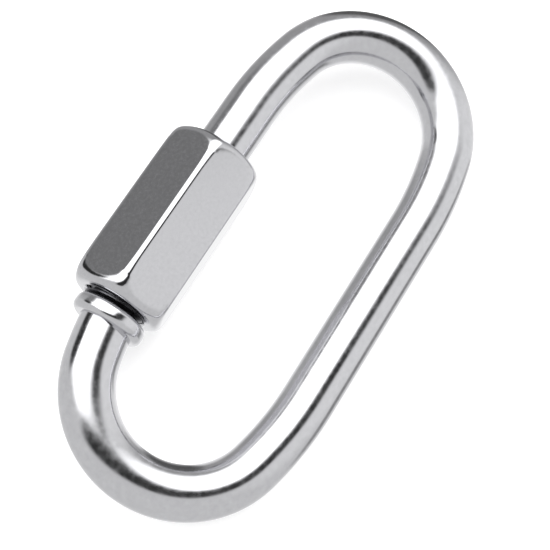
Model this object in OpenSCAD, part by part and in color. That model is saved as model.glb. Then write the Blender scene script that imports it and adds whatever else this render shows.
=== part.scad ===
// Chain quick link: an open oval of bent round wire whose gate is closed by a
// hexagonal screw sleeve. X runs along the legs and Z is up. The link lies as it comes
// to rest, on the plain leg and on the sleeve's lowest edge, with its box centred
// over the origin. All sizes are in millimetres.

/* [Wire] */
// Diameter of the round wire
wire_d = 4; // [3:0.1:6]
// Clear width inside the oval, from leg to leg
inside_width = 11.3; // [10:0.1:16]
// Clear length inside the oval, from bow to bow
inside_length = 34.6; // [32:0.2:50]
// How much tighter the bow's nose is than half the clear width
bow_ease = 0.55; // [0.3:0.05:1.2]
// Inside radius of the gentle flank between a leg and the bow's nose
flank_r = 23; // [16:0.5:30]

/* [Threaded ends] */
// How far the upset thread stands out past the wire, per side
thread_rise = 0.3; // [0.2:0.05:0.6]
// Length of the threaded stub that stands on the collar
stub_len = 2.6; // [2:0.1:4]
// Clear gate between the stub and the threaded head
gate_gap = 5.4; // [4.5:0.1:6.5]
// Length of the threaded head on the other rod end
head_len = 5; // [3:0.1:7]
// Chamfer at the free end of each thread
thread_chamfer = 0.45; // [0.2:0.05:0.7]

/* [Collar] */
// Distance from the inside of the bow to the collar's seat
collar_reach = 6.75; // [6:0.05:7.5]
// How far the collar stands out past the thread, per side
collar_lip = 0.45; // [0.2:0.05:0.8]
// Thickness of the collar along the wire
collar_t = 1.3; // [1.1:0.1:2]
// Rounding of the collar's two rims
collar_round = 0.5; // [0.2:0.05:0.5]

/* [Sleeve] */
// Radial running clearance between the thread and the sleeve
thread_clearance = 0.05; // [0.03:0.01:0.1]
// Wall of the sleeve at the middle of a flat
sleeve_wall = 1.15; // [0.9:0.05:1.6]
// Length of the sleeve past the gate, over the threaded head
sleeve_grip = 6.15; // [5.6:0.05:7.4]
// Rounding of the six long edges
sleeve_edge_r = 0.45; // [0.3:0.05:1]
// Radius of the domed turn-down at each end
sleeve_dome_r = 1.5; // [1.3:0.1:3]
// Width of the flat ring at each end
end_land = 0.45; // [0.15:0.05:0.6]
// Countersink at each end of the bore
bore_chamfer = 0.15; // [0.1:0.05:0.3]
// Gap left between the sleeve and the collar
seat_gap = 0.35; // [0.25:0.05:1.5]
// Turn of the sleeve's upper edge from the vertical, towards the outer side
sleeve_turn = 3.5; // [-30:0.5:30]

/* [Hidden] */
$fn = 96;
// Cutters run past the faces they open by this much
overlap = 0.1;
// Each bend laps over its neighbour by this much, and is a hair thicker, to fuse with it
lap = 0.2;
swell = 0.02;

// Centreline of the oval: two legs, four flanks and two noses, all tangent
wire_r = wire_d / 2;
leg_y = inside_width / 2 + wire_r;
nose_r = leg_y - bow_ease;
flank_cr = flank_r + wire_r;
flank_sweep = acos((flank_cr - leg_y) / (flank_cr - nose_r));
nose_x = inside_length / 2 + wire_r - nose_r;
leg_half = nose_x - (flank_cr - nose_r) * sin(flank_sweep);
nose_sweep = 180 - 2 * flank_sweep;

// Stations along the sleeve's leg, from the collar to the far rod end
collar_seat = -(inside_length / 2 - collar_reach);
collar_mid = collar_seat - collar_t / 2;
stub_end = collar_seat + stub_len;
head_end = stub_end + gate_gap;
sleeve_start = collar_seat + seat_gap;
sleeve_end = head_end + sleeve_grip;
sleeve_len = sleeve_end - sleeve_start;

// Round sizes about the sleeve's axis
thread_r = wire_r + thread_rise;
collar_r = thread_r + collar_lip;
bore_r = thread_r + thread_clearance;
end_ring_r = bore_r + bore_chamfer + end_land;

// Rounded hexagon: a core hexagon grown by the edge radius
flat_r = bore_r + sleeve_wall;
core_r = (flat_r - sleeve_edge_r) / cos(30);
edge_reach = core_r + sleeve_edge_r;
dome_reach = edge_reach + overlap;
dome_drop = dome_reach - end_ring_r;
dome_len = sqrt(dome_drop * (2 * sleeve_dome_r - dome_drop));

// Rest: the sleeve's edge and the plain side of the oval touch the same level
flank_section_r = wire_r + swell;
nose_section_r = flank_section_r + swell;
turn_from_edge = abs(sleeve_turn);
sleeve_low = core_r * cos(turn_from_edge) + sleeve_edge_r;
sleeve_side = core_r * cos(30 - turn_from_edge) + sleeve_edge_r;
rest_tilt = asin((sleeve_low - flank_section_r) / (2 * leg_y));
box_shift = (sleeve_side - flank_section_r) / 2;

// Centreline place of the sleeve's leg at station x
function leg_offset(x) =
    let (past = max(0, abs(x) - leg_half))
    leg_y - flank_cr + sqrt(flank_cr * flank_cr - past * past);

// Angle that an arc of this length takes on a radius
function arc_angle(length, radius) = length / radius * 180 / PI;

// Lays the flat link down in its rest attitude
module at_rest() {
    translate([0, -box_shift, flank_section_r + leg_y * sin(rest_tilt)])
        rotate([rest_tilt, 0, 0])
            children();
}

// Puts a shape that stands along Z on the sleeve's axis, with its base at station x
module on_sleeve_axis(x, y = leg_y) {
    translate([x, y, 0])
        rotate([0, 90, 0])
            children();
}

// Bent length of wire about Z, from one angle to another
module wire_arc(bend_r, section_r, from, to) {
    rotate([0, 0, from])
        rotate_extrude(angle = to - from)
            translate([bend_r, 0])
                circle(r = section_r);
}

// Bow at the +X end: the nose laps over its two flanks, and these over the legs
module bow() {
    nose_end = nose_sweep / 2 + arc_angle(lap, nose_r);
    translate([nose_x, 0, 0])
        wire_arc(nose_r, nose_section_r, -nose_end, nose_end);
    for (side = [0, 1])
        mirror([0, side, 0])
            translate([leg_half, leg_y - flank_cr, 0])
                wire_arc(
                    flank_cr,
                    flank_section_r,
                    90 - flank_sweep,
                    90 + arc_angle(lap, flank_cr)
                );
}

// Closed oval of wire, before the gate is cut
module closed_oval() {
    for (side = [-1, 1])
        on_sleeve_axis(-leg_half, side * leg_y)
            cylinder(r = wire_r, h = 2 * leg_half);
    for (end = [0, 1])
        mirror([end, 0, 0])
            bow();
}

// Block that takes the wire out of the gate, from inside the collar to inside the head
module gate_cut() {
    translate([collar_mid, 0, -wire_d])
        cube([head_end + head_len / 2 - collar_mid, 2 * leg_y, 2 * wire_d]);
}

// Upset threaded end, drawn to the thread's outside: a chamfered tip at the base,
// then the thread, then a taper that runs out inside the wire or the collar
module threaded_end(length) {
    tip_r = thread_r - thread_chamfer;
    root_r = wire_r - overlap;
    rotate_extrude()
        polygon([
            [0, 0],
            [tip_r, 0],
            [thread_r, thread_chamfer],
            [thread_r, length],
            [root_r, length + thread_r - root_r],
            [0, length + thread_r - root_r]
        ]);
}

// Half section of the collar, with both rims rounded
module collar_section() {
    square([collar_r - collar_round, collar_t]);
    translate([0, collar_round])
        square([collar_r, collar_t - 2 * collar_round]);
    for (rim = [collar_round, collar_t - collar_round])
        translate([collar_r - collar_round, rim])
            circle(r = collar_round);
}

// Wire oval with its forged collar, stub and threaded head
module link_body() {
    color("lightgray")
        at_rest() {
            difference() {
                closed_oval();
                gate_cut();
            }
            on_sleeve_axis(collar_seat - collar_t, leg_offset(collar_mid))
                rotate_extrude()
                    collar_section();
            on_sleeve_axis(stub_end)
                mirror([0, 0, 1])
                    threaded_end(stub_len + collar_t / 4);
            on_sleeve_axis(head_end)
                threaded_end(head_len);
        }
}

// Hexagon with round corners, one of them on +X
module rounded_hexagon() {
    for (turn = [0, 60, 120])
        rotate(turn + 30)
            square([2 * flat_r, core_r], center = true);
    for (turn = [0 : 60 : 300])
        rotate(turn)
            translate([core_r, 0])
                circle(r = sleeve_edge_r);
}

// Half section that turns both ends of the sleeve down to their flat rings
module domed_section() {
    square([dome_reach - sleeve_dome_r, sleeve_len]);
    translate([0, dome_len])
        square([dome_reach, sleeve_len - 2 * dome_len]);
    for (end = [0, 1])
        translate([0, end * sleeve_len])
            mirror([0, end])
                intersection() {
                    translate([dome_reach - sleeve_dome_r, dome_len])
                        circle(r = sleeve_dome_r);
                    square([dome_reach, dome_len]);
                }
}

// Running bore with a countersink at each end
module sleeve_bore() {
    translate([0, 0, -overlap])
        cylinder(r = bore_r, h = sleeve_len + 2 * overlap);
    for (end = [0, 1])
        translate([0, 0, end * sleeve_len])
            mirror([0, 0, end])
                translate([0, 0, -overlap])
                    cylinder(
                        r1 = bore_r + bore_chamfer + overlap,
                        r2 = bore_r,
                        h = bore_chamfer + overlap
                    );
}

// Hexagonal screw sleeve that closes the gate
module sleeve_nut() {
    color("silver")
        at_rest()
            on_sleeve_axis(sleeve_start)
                difference() {
                    intersection() {
                        rotate(-sleeve_turn - rest_tilt)
                            linear_extrude(sleeve_len)
                                rounded_hexagon();
                        rotate_extrude()
                            domed_section();
                    }
                    sleeve_bore();
                }
}

link_body();
sleeve_nut();
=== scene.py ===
# %% [markdown]
# # Chain quick link
# A quick link joins two chain ends. It is one length of polished steel wire bent to an
# open oval, and a hexagonal sleeve that screws across the gate to close it. The packed
# CAD model is loaded first and stays fixed: it gives every piece its size and its place.

import math

import bpy
import numpy as np
from mathutils import Euler, Matrix, Vector


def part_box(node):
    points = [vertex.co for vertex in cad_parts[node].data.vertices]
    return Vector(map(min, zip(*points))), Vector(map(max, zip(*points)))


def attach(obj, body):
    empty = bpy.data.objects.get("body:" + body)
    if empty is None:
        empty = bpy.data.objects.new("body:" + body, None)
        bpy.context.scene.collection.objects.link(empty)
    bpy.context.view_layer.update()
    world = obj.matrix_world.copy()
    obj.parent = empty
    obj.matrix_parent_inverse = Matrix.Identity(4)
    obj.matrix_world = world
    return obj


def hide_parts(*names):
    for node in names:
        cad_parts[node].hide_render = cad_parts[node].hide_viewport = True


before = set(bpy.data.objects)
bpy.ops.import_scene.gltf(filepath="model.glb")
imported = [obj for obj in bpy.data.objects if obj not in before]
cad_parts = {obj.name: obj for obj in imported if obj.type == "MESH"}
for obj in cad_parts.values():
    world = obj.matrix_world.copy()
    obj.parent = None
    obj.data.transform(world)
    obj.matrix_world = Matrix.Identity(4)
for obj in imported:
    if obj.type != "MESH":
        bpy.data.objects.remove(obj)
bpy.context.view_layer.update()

# %% [markdown]
# The sizes are the part's own, in metres. The oval's centreline is two straight legs,
# four gentle flanks and two tight noses, all tangent to each other. It is drawn flat
# first, with the sleeve's leg on +Y, and then laid down as it comes to rest: tilted on
# the plain leg and on the sleeve's lowest edge. The frame gives the sleeve's place, and
# with it the tilt.

# %% Sizes of the wire and the rest attitude
mm = 0.001
wire_r = 2.0 * mm
leg_y = 5.65 * mm + wire_r
nose_r = leg_y - 0.55 * mm
flank_r = 23 * mm + wire_r
flank_sweep = math.acos((flank_r - leg_y) / (flank_r - nose_r))
nose_x = 17.3 * mm + wire_r - nose_r
leg_half = nose_x - (flank_r - nose_r) * math.sin(flank_sweep)
nose_sweep = math.pi - 2 * flank_sweep

sleeve_low, sleeve_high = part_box("sleeve_nut")
sleeve_start, sleeve_end = sleeve_low[0], sleeve_high[0]
axis_y = (sleeve_low[1] + sleeve_high[1]) / 2
axis_z = (sleeve_low[2] + sleeve_high[2]) / 2
plain_leg_z = wire_r + 0.02 * mm
rest_tilt = math.asin((axis_z - plain_leg_z) / (2 * leg_y))
at_rest = (
    Matrix.Translation((0, axis_y, axis_z))
    @ Matrix.Rotation(rest_tilt, 4, "X")
    @ Matrix.Translation((0, -leg_y, 0))
)
print("sleeve from", round(sleeve_start / mm, 2), "to", round(sleeve_end / mm, 2), "mm")
print("rest tilt:", round(math.degrees(rest_tilt), 2), "degrees")

# %% [markdown]
# The camera stands where the photographer's did: close above the link, a little behind
# the collar, and rolled so that the legs run up to the right. A camera that is this near
# makes the collar end larger than the far end, so its distance matters as much as its
# angle. The lens follows from the angle of view on a sensor of 36 mm.

# %% Camera
camera_data = bpy.data.cameras.new("photo_camera")
camera_data.sensor_width = 36
camera_data.lens = 85.1
camera_data.clip_start = 5 * mm
camera = bpy.data.objects.new("photo_camera", camera_data)
camera_place = Matrix.Translation(Vector((-30.74, 10.96, 89.23)) * mm)
camera_turn = Euler([math.radians(turn) for turn in (11.187, -15.992, -57.365)])
camera.matrix_world = at_rest @ camera_place @ camera_turn.to_matrix().to_4x4()
bpy.context.scene.collection.objects.link(camera)
bpy.context.scene.camera = camera
print("camera in mm:", [round(v / mm, 1) for v in camera.location])

# %% [markdown]
# One function turns the sRGB colours that a maker would write into the linear numbers
# that shaders use, and one small function adds a node, sets it up and links it. Every
# material below is made with these two.

# %% Helpers for colours and nodes
def linear(hex_colour):
    """An sRGB colour such as "#D6D6DA" as linear red, green, blue and alpha."""
    parts = [int(hex_colour[i:i + 2], 16) / 255 for i in (1, 3, 5)]
    low = [p / 12.92 for p in parts]
    high = [((p + 0.055) / 1.055) ** 2.4 for p in parts]
    return [lo if p <= 0.04045 else hi for p, lo, hi in zip(parts, low, high)] + [1.0]


def add_node(tree, kind, settings=None, inputs=None):
    """Adds a node. An input is a plain value, or another node's output socket to link."""
    node = tree.nodes.new(kind)
    for name, value in (settings or {}).items():
        setattr(node, name, value)
    for name, value in (inputs or {}).items():
        if isinstance(value, bpy.types.NodeSocket):
            tree.links.new(value, node.inputs[name])
        else:
            node.inputs[name].default_value = value
    return node


def new_material(name):
    """An empty material with its output node, and its node tree."""
    material = bpy.data.materials.new(name)
    material.use_nodes = True
    material.node_tree.nodes.clear()
    return material, material.node_tree


# %% [markdown]
# The photograph was taken on white in soft light, with no backdrop to see. The floor is
# matt white paper. What the camera sees of it is lifted to white by a little glow, which
# leaves the contact shadow in place and puts no more light on the link. The steel doesn't
# mirror the paper: white rims on white ground would lose the outline, so the tone of the
# room stands in for it there.

# %% Floor
floor_size = 1.6
paper_glow = 0.50

bpy.ops.object.select_all(action="DESELECT")
bpy.ops.mesh.primitive_plane_add(size=floor_size)
floor = bpy.context.object
floor.name = "paper_floor"
floor.visible_glossy = False

# Uncoated paper scatters light evenly, so it shows no gloss, only the soft shadow.
paper, tree = new_material("matt_white_paper")
rays = add_node(tree, "ShaderNodeLightPath")
matt = add_node(tree, "ShaderNodeBsdfDiffuse", inputs={"Color": linear("#F2F2F2")})
lift = add_node(
    tree,
    "ShaderNodeMath",
    {"operation": "MULTIPLY"},
    {0: rays.outputs["Is Camera Ray"], 1: paper_glow},
)
glow = add_node(tree, "ShaderNodeEmission", inputs={"Strength": lift.outputs[0]})
both = add_node(
    tree,
    "ShaderNodeAddShader",
    inputs={0: matt.outputs[0], 1: glow.outputs[0]},
)
add_node(tree, "ShaderNodeOutputMaterial", inputs={"Surface": both.outputs[0]})
floor.data.materials.append(paper)
print("floor:", floor.name)

# %% [markdown]
# A mirror finish shows the room more than itself, so the light is set by what polished
# steel reflects. A photographer looks at a chrome ball for this: all of the room shows in
# it, and where a wall or a lamp stands on the ball tells which faces of the object will
# mirror it. The room is drawn here as soft patches on such a ball, seen from the camera:
# pale walls, dim ceiling, the window over the sleeve's side and the dark gap below it
# that draws a line along every rounded edge. The camera itself sees the room as white.

# %% Room on a chrome ball
room_tone = 0.74
patches = [
    # name, level, place to the right and up, half sizes, tilt, where it starts and is full
    ("pale_wall", 0.92, (0.75, 0.05), (0.45, 0.40), 0, 1.20, 0.60),
    ("dim_ceiling", 0.40, (0.0, 0.95), (3.0, 0.45), 0, 1.30, 0.70),
    ("pale_rim", 1.10, (0.0, 0.0), (1.0, 1.0), 0, 0.90, 1.00),
    ("dark_door", 0.30, (0.80, -0.30), (0.045, 0.30), -22, 1.40, 0.60),
    ("dark_cornice", 0.12, (0.28, 0.85), (0.42, 0.09), -18, 1.40, 0.60),
    ("dark_gap", 0.03, (0.10, 0.01), (0.40, 0.12), 17, 1.30, 0.80),
    ("window", 2.20, (-0.06, 0.35), (0.48, 0.27), 15, 1.22, 0.90),
    ("left_wall", 0.72, (-0.58, 0.11), (0.23, 0.12), -25, 1.70, 0.50),
    ("dark_corner", 0.03, (-0.53, 0.36), (0.11, 0.16), -20, 1.25, 0.70),
    ("grey_card", 0.24, (-0.38, 0.55), (0.17, 0.12), 50, 1.15, 0.50),
]
print("room:", ", ".join(name for name, *_ in patches))

# %% [markdown]
# The world's shader finds the place on the ball. A ball that faces halfway between a ray
# and the camera sends that ray to the camera. So the ray and the way back to the camera
# are added and brought to length one, and the parts of that along the camera's right and
# up are the place. Each patch is then laid over the ones before it, with a soft edge.

# %% World
world = bpy.data.worlds.new("soft_room")
world.use_nodes = True
bpy.context.scene.world = world
tree = world.node_tree
tree.nodes.clear()
rays = add_node(tree, "ShaderNodeLightPath")
sky = add_node(tree, "ShaderNodeTexCoord")
right, up, back = (axis.copy() for axis in camera.matrix_world.to_3x3().col)
summed = add_node(
    tree,
    "ShaderNodeVectorMath",
    {"operation": "ADD"},
    {0: sky.outputs["Generated"], 1: back},
)
facing = add_node(
    tree, "ShaderNodeVectorMath", {"operation": "NORMALIZE"}, {0: summed.outputs[0]}
)
on_ball = add_node(tree, "ShaderNodeCombineXYZ")
for number, axis in enumerate((right, up)):
    part = add_node(
        tree,
        "ShaderNodeVectorMath",
        {"operation": "DOT_PRODUCT"},
        {0: facing.outputs[0], 1: axis},
    )
    tree.links.new(part.outputs["Value"], on_ball.inputs[number])

level = room_tone
for name, tone, centre, half, tilt, start, full in patches:
    placed = add_node(
        tree,
        "ShaderNodeMapping",
        {"vector_type": "TEXTURE"},
        {
            "Vector": on_ball.outputs[0],
            "Location": (*centre, 0),
            "Rotation": (0, 0, math.radians(tilt)),
            "Scale": (*half, 1),
        },
    )
    away = add_node(
        tree, "ShaderNodeVectorMath", {"operation": "LENGTH"}, {0: placed.outputs[0]}
    )
    amount = add_node(
        tree,
        "ShaderNodeMapRange",
        {"interpolation_type": "SMOOTHSTEP", "label": name},
        {"Value": away.outputs["Value"], "From Min": start, "From Max": full},
    )
    level = add_node(
        tree, "ShaderNodeMix", inputs={0: amount.outputs[0], 2: level, 3: tone}
    ).outputs[0]
seen = add_node(
    tree,
    "ShaderNodeMix",
    inputs={0: rays.outputs["Is Camera Ray"], 2: level, 3: 1.0},
)
air = add_node(
    tree,
    "ShaderNodeBackground",
    inputs={"Color": linear("#FFFFFF"), "Strength": seen.outputs[0]},
)
add_node(tree, "ShaderNodeOutputWorld", inputs={"Surface": air.outputs[0]})
bpy.context.scene.view_settings.view_transform = "Standard"
print("world:", world.name, "with", len(tree.nodes), "nodes")


# %% [markdown]
# Round wire is a ring of vertices carried along its path. By hand that is a circle which
# is extruded along the straight legs and spun round the bends. A curve with a round bevel
# would do as well, but spin gives true arcs, with rows just where the bend needs them.

# %% Ring tools
def new_ring(name, x, radius, sides=96, y=leg_y):
    """A circle of vertices across X, open for editing with all of it selected."""
    bpy.ops.object.select_all(action="DESELECT")
    bpy.ops.mesh.primitive_circle_add(
        vertices=sides, radius=radius, location=(x, y, 0), rotation=(0, math.pi / 2, 0)
    )
    bpy.context.object.name = name
    bpy.ops.object.transform_apply()
    bpy.ops.object.mode_set(mode="EDIT")
    bpy.ops.mesh.select_all(action="SELECT")
    bpy.ops.mesh.edge_face_add()
    return bpy.context.object


def carry_on(distance):
    """Extrudes the selected end of the wire along X."""
    bpy.ops.mesh.extrude_region_move(TRANSFORM_OT_translate={"value": (distance, 0, 0)})


def carry_round(centre_x, centre_y, sweep, rows):
    """Spins the selected end of the wire clockwise about an upright line."""
    bpy.ops.mesh.spin(
        steps=rows, angle=sweep, center=(centre_x, centre_y, 0), axis=(0, 0, 1)
    )


def finish_mesh(obj, crease_angle=30):
    """Merges doubles, points the faces outwards and shades all but the creases smooth."""
    bpy.ops.object.mode_set(mode="EDIT")
    bpy.ops.mesh.select_all(action="SELECT")
    bpy.ops.mesh.remove_doubles(threshold=1e-7)
    bpy.ops.mesh.normals_make_consistent(inside=False)
    bpy.ops.object.mode_set(mode="OBJECT")
    bpy.ops.object.shade_smooth_by_angle(angle=math.radians(crease_angle))
    print(obj.name, len(obj.data.polygons), "faces")


# %% Bent wire
collar_mid = -11.2 * mm
head_end = -2.55 * mm
head_len = 5.0 * mm
head_lap = 0.15 * mm
head_run_out = head_end + head_len
last_sweep = flank_sweep - math.asin((-collar_mid - leg_half) / flank_r)
flank_rows = 12
nose_rows = 120

wire_start = head_run_out - head_lap
wire = new_ring("link_wire", wire_start, wire_r)
carry_on(leg_half - wire_start)
carry_round(leg_half, leg_y - flank_r, flank_sweep, flank_rows)
carry_round(nose_x, 0, nose_sweep, nose_rows)
carry_round(leg_half, flank_r - leg_y, flank_sweep, flank_rows)
carry_on(-2 * leg_half)
carry_round(-leg_half, flank_r - leg_y, flank_sweep, flank_rows)
carry_round(-nose_x, 0, nose_sweep, nose_rows)
carry_round(-leg_half, leg_y - flank_r, last_sweep, flank_rows // 2)
finish_mesh(wire)

# %% [markdown]
# The collar is a forged bead round the wire, with both rims rounded. It is turned like a
# bead on a lathe: a ring is extruded a little along the axis and scaled at each step, so
# that the steps follow the quarter rounds of the rims.

# %% Collar
collar_r = 2.75 * mm
collar_t = 1.3 * mm
collar_round = 0.5 * mm
rim_steps = 10


def turned_bead(name, stations, y):
    """A closed round solid through stations of place along X and radius."""
    (x, radius), *others = stations
    bead = new_ring(name, x, radius, y=y)
    for next_x, next_radius in others:
        carry_on(next_x - x)
        ratio = next_radius / radius
        bpy.ops.transform.resize(
            value=(1, ratio, ratio), center_override=(next_x, y, 0)
        )
        x, radius = next_x, next_radius
    finish_mesh(bead)
    return bead


collar_y = leg_y - flank_r + math.sqrt(flank_r**2 - (-collar_mid - leg_half) ** 2)
quarter = [math.pi / 2 * i / rim_steps for i in range(rim_steps + 1)]
rim = [
    (
        collar_t / 2 - collar_round * (1 - math.sin(turn)),
        collar_r - collar_round * (1 - math.cos(turn)),
    )
    for turn in quarter
]
stations = [(collar_mid + offset, radius) for offset, radius in reversed(rim)]
stations += [(collar_mid - offset, radius) for offset, radius in rim]
collar = turned_bead("collar", stations, collar_y)

# %% [markdown]
# Both ends of the wire are upset and carry a rolled thread of 4.6 mm, with a pitch of
# 0.75 mm. The thread shows in the slit above the collar, and all of the stub's when the
# gate is open. A spiral groove could be cut into a cylinder, but the Screw modifier winds
# one tooth, drawn as a line, straight up the axis. The ends are then cut square, and the
# tips are turned down to a chamfer, as on a lathe.

# %% Thread tools
thread_pitch = 0.75 * mm
thread_root_r = 1.86 * mm
thread_depth = 0.42 * mm
thread_sides = 64
run_in_turns = 2
# One tooth in steps: shares of the pitch along it, and of the depth outwards.
tooth_steps = ((0.25, 0), (0.3, 1), (0.15, 0), (0.3, -1))


def thread_rod(name, low, high):
    """A closed length of right-hand screw thread along the sleeve's axis."""
    turns = math.ceil((high - low) / thread_pitch) + run_in_turns + 1
    bpy.ops.object.select_all(action="DESELECT")
    bpy.ops.mesh.primitive_plane_add(size=mm, location=(0, 0, 0))
    rod = bpy.context.object
    rod.name = name
    bpy.ops.object.mode_set(mode="EDIT")
    bpy.ops.mesh.select_all(action="SELECT")
    bpy.ops.mesh.merge(type="CENTER")
    start_x = low - run_in_turns * thread_pitch
    bpy.ops.transform.translate(value=(start_x, 0, thread_root_r))
    for along, out in tooth_steps:
        step = (along * thread_pitch, 0, out * thread_depth)
        bpy.ops.mesh.extrude_vertices_move(TRANSFORM_OT_translate={"value": step})
    bpy.ops.object.mode_set(mode="OBJECT")
    wind = rod.modifiers.new("wind", "SCREW")
    wind.axis = "X"
    wind.steps = wind.render_steps = thread_sides
    wind.screw_offset = thread_pitch
    wind.iterations = turns
    wind.use_merge_vertices = True
    wind.merge_threshold = 1e-6
    bpy.ops.object.modifier_apply(modifier=wind.name)
    bpy.ops.object.mode_set(mode="EDIT")
    # The cut's usual threshold of 0.1 mm would take whole flanks of a thread this fine.
    for end, outward in ((low, -1), (high, 1)):
        bpy.ops.mesh.select_all(action="SELECT")
        bpy.ops.mesh.bisect(
            plane_co=(end, 0, 0),
            plane_no=(outward, 0, 0),
            use_fill=True,
            clear_outer=True,
            threshold=1e-8,
        )
    bpy.ops.mesh.select_all(action="SELECT")
    bpy.ops.mesh.fill_holes(sides=0)
    bpy.ops.transform.translate(value=(0, leg_y, 0))
    finish_mesh(rod, 20)
    return rod


def fuse(base, other):
    """Joins another closed mesh to a closed mesh. The other is then gone."""
    bpy.ops.object.select_all(action="DESELECT")
    bpy.context.view_layer.objects.active = base
    base.select_set(True)
    step = base.modifiers.new("fuse", "BOOLEAN")
    step.operation = "UNION"
    step.solver = "EXACT"
    step.object = other
    bpy.ops.object.modifier_apply(modifier=step.name)
    bpy.data.objects.remove(other)
    print(base.name, "fused to", len(base.data.polygons), "faces")


def turn_down(rod, start, radius, slope):
    """Limits a thread's radius from a place along X on, as a lathe tool does."""
    places = np.empty(3 * len(rod.data.vertices))
    rod.data.vertices.foreach_get("co", places)
    places = places.reshape(-1, 3)
    about_axis = places[:, 1:] - (leg_y, 0)
    out = np.linalg.norm(about_axis, axis=1)
    limit = radius + slope * (places[:, 0] - start)
    about_axis *= np.minimum(1, limit / out)[:, None]
    places[:, 1:] = about_axis + (leg_y, 0)
    rod.data.vertices.foreach_set("co", places.ravel())


# %% Stub and threaded head
thread_r = 2.3 * mm
tip_chamfer = 0.45 * mm
tip_r = thread_r - tip_chamfer
stub_end = -7.95 * mm
# The stub starts inside the collar, off its middle, so that no two faces coincide.
stub_root = collar_mid - 0.23 * mm

stub = thread_rod("stub", stub_root, stub_end)
turn_down(stub, stub_end, tip_r, -1)
head = thread_rod("head", head_end, head_run_out + thread_depth)
turn_down(head, head_end, tip_r, 1)
turn_down(head, head_run_out, thread_r, -1)
for piece in (collar, stub, head):
    fuse(wire, piece)
finish_mesh(wire)

# %% [markdown]
# The rolled thread is darker than the polished wire. Part of that is its own tone, because
# oil stays in it and it was never polished. The rest is painted shade, so that the slit
# above the collar shows black. Its faces get the second material of the wire. They are
# found by their place: between the collar and the end of the head, and no further from the
# sleeve's axis than the thread reaches.

# %% Thread faces
touch = 0.005 * mm
threaded = [
    face
    for face in wire.data.polygons
    if collar_mid < face.center.x < head_run_out
    and math.hypot(face.center.y - leg_y, face.center.z) < thread_r + touch
    and face.center.y > 0
]
# These faces take the dark thread material, whose tone carries painted shade for the slit
# above the collar.
for face in threaded:
    face.material_index = 1
print("thread faces:", len(threaded))
wire.data.transform(at_rest)
wire.name = "bent_wire"

# %% [markdown]
# The sleeve is a long hexagonal nut. Its six edges are rounded, more so towards the ends,
# and both ends are turned down to a dome, so each flat ends in a curve. Polishing has run
# all of these forms into each other, and on a mirror finish a bevel along a cut edge would
# show every crease. So the sleeve starts as a torus, which is the same closed grid as a
# tube with a bore, and each of its vertices is drawn to the rounded hexagon, the dome or
# the bore by rule.

# %% Sizes of the sleeve
sleeve_len = sleeve_end - sleeve_start
flat_r = 3.5 * mm
edge_r = 0.45 * mm
edge_growth = 0.6 * mm
edge_ease = 3.5 * mm
dome_r = 1.5 * mm
dome_reach = 4.07 * mm
ring_r = 2.95 * mm
bore_r = 2.35 * mm
countersink = 0.15 * mm
sleeve_turn = math.radians(3.5)
dome_drop = dome_reach - ring_r
dome_len = math.sqrt(dome_drop * (2 * dome_r - dome_drop))
soft_edge = 0.28 * mm
soft_rim = 0.10 * mm


def soft_meeting(first, second, radius):
    """Depth outside two surfaces that meet in an edge rounded by the radius."""
    both = np.hypot(np.maximum(first + radius, 0), np.maximum(second + radius, 0))
    return np.minimum(-radius, np.maximum(first, second)) + both


def outside_sleeve(along, out, turn):
    """How far a point lies outside the sleeve's skin, from its place about the axis."""
    from_flat = np.abs((turn % (math.pi / 3)) - math.pi / 6)
    end = np.minimum(along, sleeve_len - along)
    radius = edge_r + edge_growth * np.clip(1 - end / edge_ease, 0, 1) ** 2
    inner = flat_r - radius
    x = out * np.cos(from_flat) - inner
    y = out * np.sin(from_flat) - inner * math.tan(math.pi / 6)
    hexagon = np.where(y > 0, np.hypot(np.maximum(x, 0), np.maximum(y, 0)), x) - radius
    rise = np.maximum(dome_len - end, 0)
    dome = np.hypot(np.maximum(out - dome_reach + dome_r, 0), rise) - dome_r
    dome -= np.maximum(end - dome_len, 0)
    return soft_meeting(soft_meeting(hexagon, dome, soft_edge), -end, soft_rim)


# %% Rays from the sleeve's axis
anchor = 3.0 * mm
end_rows = 50
middle_rows = 8
corner_columns = 24
flat_columns = 16

mouth_r = bore_r + countersink
mouth_land = 0.02 * mm
end_turn = math.atan2(anchor, mouth_r + mouth_land)
fan = np.linspace(end_turn, 0, end_rows)
from_x = [anchor] * end_rows
lean = list(-fan)
for share in np.linspace(0, 1, middle_rows + 2)[1:-1]:
    from_x.append(anchor + share * (sleeve_len - 2 * anchor))
    lean.append(0.0)
from_x += [sleeve_len - anchor] * end_rows
lean += list(fan[::-1])

corner_reach = flat_r / math.cos(math.pi / 6)
corner = math.asin((edge_r + edge_growth) / 2 / corner_reach)
turns = []
for side in range(6):
    middle = side * math.pi / 3
    turns += list(middle + np.linspace(-corner, corner, corner_columns, endpoint=False))
    turns += list(
        middle + np.linspace(corner, math.pi / 3 - corner, flat_columns, endpoint=False)
    )

start_x, tilt, turn = np.array(from_x), np.array(lean), np.array(turns)
print("rays:", len(turn), "round the axis,", len(start_x), "along it")

# %% [markdown]
# The skin is found on each ray by halving: a point halfway along is inside or outside, and
# the half that holds the skin is halved again. The bore needs no search. It is a plain
# round hole with a countersink at each end and a sloped groove for the thread, which fades
# out before it comes to the mouths.

# %% Skin and bore
shortest, longest = 1.0 * mm, 7.0 * mm
halvings = 50
bore_rows = 146
groove_depth = 0.3 * mm
groove_start = 0.4 * mm
groove_run_in = 0.6 * mm

grid_turn = turn[:, None] + 0 * start_x[None, :]
near = np.full(grid_turn.shape, shortest)
far = np.full(grid_turn.shape, longest)
for _ in range(halvings):
    reach = (near + far) / 2
    along = start_x + reach * np.sin(tilt)
    out = reach * np.cos(tilt)
    inside = outside_sleeve(along, out, grid_turn) < 0
    near = np.where(inside, reach, near)
    far = np.where(inside, far, reach)

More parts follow.
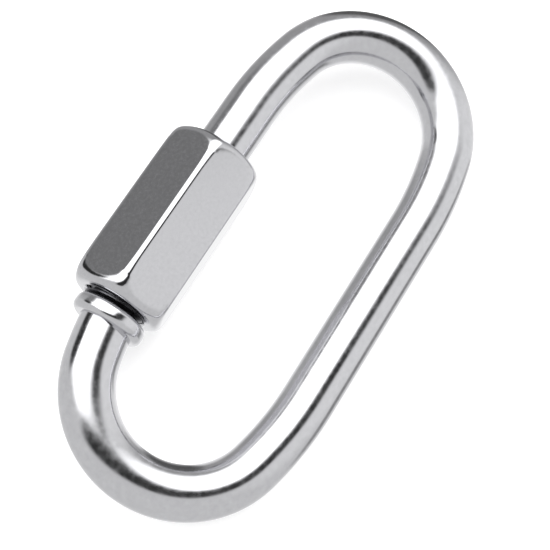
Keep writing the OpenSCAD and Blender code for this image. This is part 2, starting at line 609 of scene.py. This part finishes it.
bore_x = np.linspace(sleeve_len, 0, bore_rows)
edge_x = np.minimum(bore_x, sleeve_len - bore_x)
phase = (bore_x[None, :] / thread_pitch - grid_turn[:, :1] / (2 * math.pi)) % 1.0
# The groove is flat over 0.3 of the pitch, and its sides run out over 0.8 of it.
groove = np.clip(1.6 - 4 * np.abs(phase - 0.5), 0, 1) * groove_depth
sunk = np.clip((edge_x - groove_start) / groove_run_in, 0, 1)
bore_out = bore_r + groove * sunk + np.maximum(countersink - edge_x, 0)
print("sleeve reaches", round(out.max() / mm, 3), "mm from its axis")

# %% Sleeve mesh
grid_x = np.hstack([along, np.broadcast_to(bore_x, bore_out.shape)])
grid_out = np.hstack([out, bore_out])
grid_turn = np.broadcast_to(turn[:, None], grid_x.shape) + sleeve_turn + rest_tilt
place = np.stack(
    [
        grid_x + sleeve_start,
        grid_out * np.sin(grid_turn) + leg_y,
        grid_out * np.cos(grid_turn),
    ],
    axis=-1,
)

bpy.ops.object.select_all(action="DESELECT")
bpy.ops.mesh.primitive_torus_add(
    major_segments=grid_x.shape[0],
    minor_segments=grid_x.shape[1],
    major_radius=3 * mm,
    minor_radius=1 * mm,
)
sleeve = bpy.context.object
sleeve.name = "screw_sleeve"
sleeve.data.vertices.foreach_set("co", place.astype(np.float32).ravel())
finish_mesh(sleeve, 40)
sleeve.data.transform(at_rest)

# %% [markdown]
# The wire is stainless steel, polished to a mirror after bending. It has no colour of its
# own beyond a faint cool grey, and what the eye sees is the room in it, softened a little
# by the fine polishing marks. The sleeve is the same steel, polished by tumbling, which
# leaves its flats a shade duller, with a faint grain. The rolled thread was never polished
# and holds oil, so it is darker. Its tone is set darker still as painted shade, so that
# the slit above the collar shows black. One function makes all three, because they differ
# only in tone, roughness and grain.

# %% Polished steel
def polished_steel(name, dull, bright, roughness, grain_mm, grain_depth, grain_share):
    """Stainless steel: a mirror with a fine grain in its tone, height and roughness."""
    material, tree = new_material(name)
    place = add_node(tree, "ShaderNodeTexCoord")
    grain = add_node(
        tree,
        "ShaderNodeTexNoise",
        inputs={
            "Vector": place.outputs["Object"],
            "Scale": 1 / (grain_mm * mm),
            "Detail": 4.0,
            "Roughness": 0.6,
        },
    )
    dulling = add_node(
        tree,
        "ShaderNodeMapRange",
        inputs={
            "Value": grain.outputs[0],
            "From Min": 0.3,
            "From Max": 0.7,
            "To Min": roughness * (1 - grain_share),
            "To Max": roughness * (1 + grain_share),
        },
    )
    bump = add_node(
        tree,
        "ShaderNodeBump",
        inputs={
            "Height": grain.outputs[0],
            "Strength": 1.0,
            "Distance": grain_depth * mm,
        },
    )
    tone = add_node(
        tree,
        "ShaderNodeMix",
        {"data_type": "RGBA"},
        {0: grain.outputs[0], 6: linear(dull), 7: linear(bright)},
    )
    steel = add_node(
        tree,
        "ShaderNodeBsdfPrincipled",
        inputs={
            "Base Color": tone.outputs[2],
            "Metallic": 1.0,
            "Roughness": dulling.outputs[0],
            "Normal": bump.outputs[0],
        },
    )
    add_node(tree, "ShaderNodeOutputMaterial", inputs={"Surface": steel.outputs[0]})
    return material


# Polishing marks are finer than this. They are drawn at 0.25 to 0.5 mm so that they show.
# Buffed wire: long reflections with soft edges, and a grain that just shows in the greys.
wire_steel = polished_steel(
    "mirror_polished_stainless", "#CACACD", "#E0E0E3", 0.16, 0.5, 0.0012, 0.3
)
# Tumbled sleeve: even greys on the flats, and edges that stay bright.
sleeve_steel = polished_steel(
    "tumbled_stainless", "#C5C5C8", "#DBDBDE", 0.10, 0.25, 0.0010, 0.4
)
# Rolled and oiled thread: dark steel, set darker still as painted shade so that the slit
# above the collar shows black.
thread_steel_and_slit_shade = polished_steel(
    "oiled_thread_and_painted_slit_shade", "#6C6C70", "#808084", 0.35, 0.3, 0.0020, 0.3
)
for steel in (wire_steel, thread_steel_and_slit_shade):
    wire.data.materials.append(steel)
sleeve.data.materials.append(sleeve_steel)
print("steels:", wire_steel.name, sleeve_steel.name, thread_steel_and_slit_shade.name)

# %% [markdown]
# Last, each new piece takes the place of its CAD solid and rides on the same body.

# %% Bodies
for piece, node, body, slot in (
    (wire, "link_body", "link", "polished_wire"),
    (sleeve, "sleeve_nut", "sleeve", "polished_sleeve"),
):
    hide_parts(node)
    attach(piece, body)
